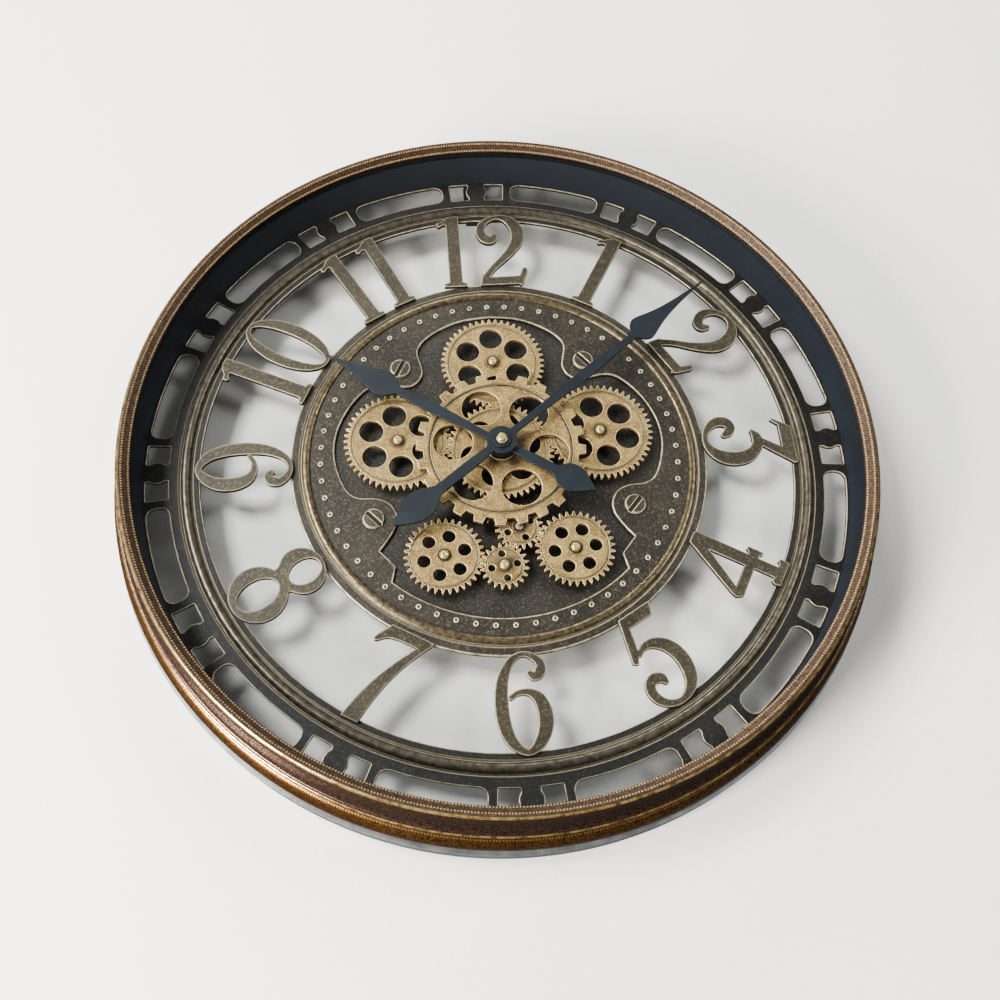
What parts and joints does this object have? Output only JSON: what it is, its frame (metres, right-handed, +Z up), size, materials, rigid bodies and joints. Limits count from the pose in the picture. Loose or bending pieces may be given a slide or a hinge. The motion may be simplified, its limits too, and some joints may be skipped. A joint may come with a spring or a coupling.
{
  "type": "skeleton wall clock",
  "caption": "Round wall clock with an open skeleton dial, a moving gear train behind flat glass and a deep moulded rim, hung from a keyhole strap.",
  "frame": {"origin": "centre of the hanger strap's keyhole on the wall plane", "axes": "-Y out of the wall towards the viewer, +Z up to 12 o'clock, +X to 3 o'clock"},
  "size_m": [0.6309, 0.0769, 0.631],
  "materials": {
    "gold_rim": "moulded rim, antique gold over dark brown, mottled and rubbed on the high lines",
    "glass": "clear flat glass, polished",
    "seal": "matt black flat ring",
    "navy_lining": "very dark blue-black satin paint",
    "steel_band": "grey-blue satin paint on rolled steel",
    "pewter": "dark pewter-bronze with rubbed pale bronze edges",
    "old_gold": "raised bead, rubbed bronze-gold",
    "gear_brass": "pale antique brass with brown speckle and dark grooves",
    "dark_brass": "dark patinated brass",
    "pale_brass": "bright brass, lightly brushed",
    "hand_navy": "dark navy satin paint",
    "zinc": "zinc-plated steel",
    "black_plastic": "fine-grained black plastic",
    "white_plastic": "natural white plastic",
    "battery_wrap": "printed-free satin foil wrap with bare steel ends"
  },
  "bodies": {
    "case": {"bezel": "gold_rim", "glass": "glass", "glass_seal": "seal", "inner_liner": "navy_lining", "rear_band": "steel_band", "rear_flange": "steel_band", "case_fixings": "zinc", "hanger": "navy_lining", "hanger_plate": "zinc", "track_plate": "pewter", "track_bead": "old_gold", "numeral_1": "pewter", "numeral_2": "pewter", "numeral_3": "pewter", "numeral_4": "pewter", "numeral_5": "pewter", "numeral_6": "pewter", "numeral_7": "pewter", "numeral_8": "pewter", "numeral_9": "pewter", "numeral_10": "pewter", "numeral_11": "pewter", "numeral_12": "pewter", "dial_surround": "pewter", "disc_bead": "old_gold", "dial_studs": "pewter", "dial_screws": "pewter", "backplate": "pewter", "gear_posts": "zinc", "post_washers": "dark_brass", "post_screws": "pale_brass", "stem_bush": "pale_brass", "stem_nut": "pale_brass", "stem_ring": "dark_brass", "movement_case": "black_plastic", "movement_cover": "black_plastic", "motor_housing": "black_plastic", "motor_cover": "black_plastic", "gear_motor": "zinc", "batteries": "battery_wrap", "battery_contacts": "zinc"},
    "centre_train": {"centre_hub": "dark_brass", "centre_wheel": "gear_brass", "centre_gear": "gear_brass"},
    "top_train": {"top_gear": "gear_brass"},
    "left_train": {"left_gear": "gear_brass"},
    "right_train": {"right_gear": "gear_brass"},
    "lower_left_train": {"lower_left_gear": "gear_brass"},
    "lower_right_train": {"lower_right_gear": "gear_brass"},
    "small_train": {"small_gear": "gear_brass"},
    "idler_train": {"idler_gear": "gear_brass"},
    "pinion": {"drive_pinion": "gear_brass"},
    "minute": {"minute_arbor": "pale_brass", "minute_hand": "hand_navy", "hand_nut": "pale_brass"},
    "hour": {"hour_pipe": "white_plastic", "hour_hand": "hand_navy"},
    "motion": {"motion_wheel": "white_plastic"},
    "knob": {"setting_knob": "white_plastic"},
    "switch": {"switch_slider": "black_plastic"}
  },
  "joints": [
    {"name": "centre_spin", "type": "hinge", "parent": "case", "child": "centre_train", "pos_m": [0, -0.037, -0.283], "axis": [0, -1, 0], "continuous": true},
    {"name": "top_spin", "type": "hinge", "parent": "case", "child": "top_train", "pos_m": [0, -0.037, -0.19804], "axis": [0, -1, 0], "continuous": true},
    {"name": "left_spin", "type": "hinge", "parent": "case", "child": "left_train", "pos_m": [-0.08391, -0.037, -0.26971], "axis": [0, -1, 0], "continuous": true},
    {"name": "right_spin", "type": "hinge", "parent": "case", "child": "right_train", "pos_m": [0.08391, -0.037, -0.26971], "axis": [0, -1, 0], "continuous": true},
    {"name": "lower_left_spin", "type": "hinge", "parent": "case", "child": "lower_left_train", "pos_m": [-0.0518, -0.037, -0.3732], "axis": [0, -1, 0], "continuous": true},
    {"name": "lower_right_spin", "type": "hinge", "parent": "case", "child": "lower_right_train", "pos_m": [0.0518, -0.037, -0.3732], "axis": [0, -1, 0], "continuous": true},
    {"name": "small_spin", "type": "hinge", "parent": "case", "child": "small_train", "pos_m": [-0.00541, -0.037, -0.38468], "axis": [0, -1, 0], "continuous": true},
    {"name": "idler_spin", "type": "hinge", "parent": "case", "child": "idler_train", "pos_m": [0.00884, -0.037, -0.35227], "axis": [0, -1, 0], "continuous": true},
    {"name": "pinion_spin", "type": "hinge", "parent": "case", "child": "pinion", "pos_m": [-0.01317, -0.037, -0.33444], "axis": [0, -1, 0], "continuous": true},
    {"name": "minute_spin", "type": "hinge", "parent": "case", "child": "minute", "pos_m": [0, -0.037, -0.283], "axis": [0, -1, 0], "continuous": true},
    {"name": "hour_spin", "type": "hinge", "parent": "case", "child": "hour", "pos_m": [0, -0.037, -0.283], "axis": [0, -1, 0], "continuous": true},
    {"name": "motion_spin", "type": "hinge", "parent": "case", "child": "motion", "pos_m": [0, -0.037, -0.271], "axis": [0, -1, 0], "continuous": true},
    {"name": "knob_spin", "type": "hinge", "parent": "case", "child": "knob", "pos_m": [0.012, -0.037, -0.271], "axis": [0, -1, 0], "continuous": true},
    {"name": "switch_slide", "type": "slide", "parent": "case", "child": "switch", "axis": [1, 0, 0], "range_m": [0, 0.0044]}
  ],
  "couplings": [
    {"joint": "top_spin", "follows": "centre_spin", "ratio": -1},
    {"joint": "left_spin", "follows": "centre_spin", "ratio": -1},
    {"joint": "right_spin", "follows": "centre_spin", "ratio": -1},
    {"joint": "pinion_spin", "follows": "centre_spin", "ratio": -4},
    {"joint": "idler_spin", "follows": "centre_spin", "ratio": 2.4},
    {"joint": "small_spin", "follows": "centre_spin", "ratio": -2.4},
    {"joint": "lower_right_spin", "follows": "centre_spin", "ratio": -1.4118},
    {"joint": "lower_left_spin", "follows": "centre_spin", "ratio": 1.4118},
    {"joint": "hour_spin", "follows": "minute_spin", "ratio": 0.083333},
    {"joint": "motion_spin", "follows": "minute_spin", "ratio": -0.33333},
    {"joint": "knob_spin", "follows": "minute_spin", "ratio": 1}
  ]
}
